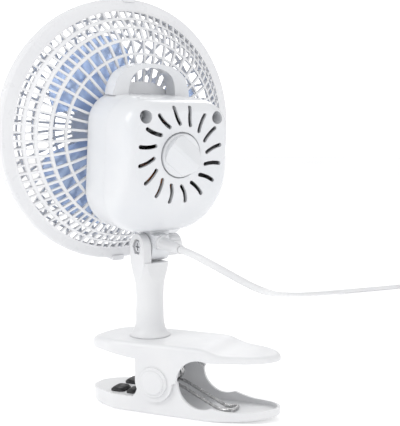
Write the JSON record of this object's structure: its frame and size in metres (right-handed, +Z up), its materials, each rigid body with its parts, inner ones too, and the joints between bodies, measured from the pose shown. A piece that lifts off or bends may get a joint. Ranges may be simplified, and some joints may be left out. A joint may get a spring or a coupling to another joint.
{
  "type": "clip-on desk fan",
  "caption": "Small clip-on desk fan: caged blade on a boxy motor housing with a rear speed dial, tilting on a swivel stem above a spring clip, with cord and plug.",
  "frame": {"origin": "on the floor under the middle of the fan's box, without its cord", "axes": "+Z up, +X along the clip from the jaw tips to the finger grips, +Y across the clip, away from the side the speed dial is turned towards"},
  "size_m": [0.2547, 0.6404, 0.2917],
  "materials": {
    "white_clip": "satin",
    "white_stem": "satin",
    "white_housing": "gloss",
    "white_guard": "satin",
    "white_dial": "gloss",
    "blue_blade": "translucent gloss",
    "black_pad": "matt",
    "plated_steel": "polished",
    "spring_steel": "oiled",
    "dark_washer": "matt",
    "lamination_steel": "oiled laminations",
    "copper_strap": "bare copper",
    "winding_wire": "enamelled copper",
    "bobbin_nylon": "matt",
    "bearing_bronze": "sintered",
    "rotor_alloy": "turned",
    "switch_phenolic": "matt",
    "lead_insulation": "matt",
    "cord_jacket": "satin PVC",
    "plug_brass": "plain",
    "tie_plastic": "matt"
  },
  "bodies": {
    "upper_jaw": {"upper_jaw": "white_clip", "upper_jaw_pads": "black_pad", "hinge_pin": "plated_steel", "hinge_pin_caps": "white_clip", "clip_torsion_spring": "spring_steel"},
    "lower_jaw": {"lower_jaw": "white_clip", "lower_jaw_pads": "black_pad"},
    "stem": {"stem": "white_stem", "swivel_washer": "plated_steel", "swivel_screw": "plated_steel", "tilt_screw": "plated_steel", "tilt_friction_washer": "dark_washer", "tilt_knob_washer": "plated_steel", "power_cord_lead": "cord_jacket", "power_cord_coil": "cord_jacket", "power_cord_tail": "cord_jacket", "cord_tie": "tie_plastic", "plug_body": "cord_jacket", "plug_pins": "plug_brass"},
    "tilt_knob": {"tilt_knob": "white_stem"},
    "head": {"tilt_bracket": "white_housing", "bracket_screws": "plated_steel", "front_housing": "white_housing", "rear_cover": "white_housing", "cover_screws": "plated_steel", "rear_guard": "white_guard", "guard_screws": "plated_steel", "front_guard": "white_guard", "front_badge": "white_housing", "rim_clips": "white_guard", "rotary_switch": "switch_phenolic", "internal_leads": "lead_insulation", "strain_relief": "cord_jacket", "stator_core": "lamination_steel", "shading_rings": "copper_strap", "coil_bobbin": "bobbin_nylon", "coil_winding": "winding_wire", "front_bearing_plate": "plated_steel", "rear_bearing_plate": "plated_steel", "bearing_bushes": "bearing_bronze", "motor_screws": "plated_steel", "motor_lugs": "plated_steel", "motor_mount_screws": "plated_steel"},
    "rotor": {"motor_shaft": "plated_steel", "motor_rotor": "rotor_alloy", "thrust_washers": "bobbin_nylon", "fan_blade": "blue_blade", "blade_clip": "spring_steel"},
    "speed_dial": {"speed_dial": "white_dial", "switch_shaft": "switch_phenolic"}
  },
  "joints": [
    {"name": "clip_hinge", "type": "hinge", "parent": "upper_jaw", "child": "lower_jaw", "pos_m": [0.01465, -0.02185, 0.0236], "axis": [0, -1, 0], "range_deg": [0, 18], "stiffness_Nm_per_rad": 1.6, "springref_deg": -20.05, "deforming": ["clip_torsion_spring"]},
    {"name": "stem_swivel", "type": "hinge", "parent": "upper_jaw", "child": "stem", "pos_m": [-0.00085, -0.02185, 0.05], "axis": [0, 0, 1], "range_deg": [-60, 120]},
    {"name": "head_tilt", "type": "hinge", "parent": "stem", "child": "head", "pos_m": [-0.00085, -0.02185, 0.114], "axis": [0.5225, 0.8526, 0], "range_deg": [-35, 30]},
    {"name": "fan_spin", "type": "hinge", "parent": "head", "child": "rotor", "pos_m": [0.00563, -0.02582, 0.19012], "axis": [0.8484, -0.5199, -0.0993], "continuous": true},
    {"name": "dial_turn", "type": "hinge", "parent": "head", "child": "speed_dial", "pos_m": [0.03552, -0.04414, 0.17888], "axis": [-0.8484, 0.5199, 0.0993], "range_deg": [0, 90]},
    {"name": "knob_turn", "type": "hinge", "parent": "stem", "child": "tilt_knob", "pos_m": [0.00829, -0.00693, 0.114], "axis": [0.5225, 0.8526, 0], "range_deg": [0, 270]}
  ]
}
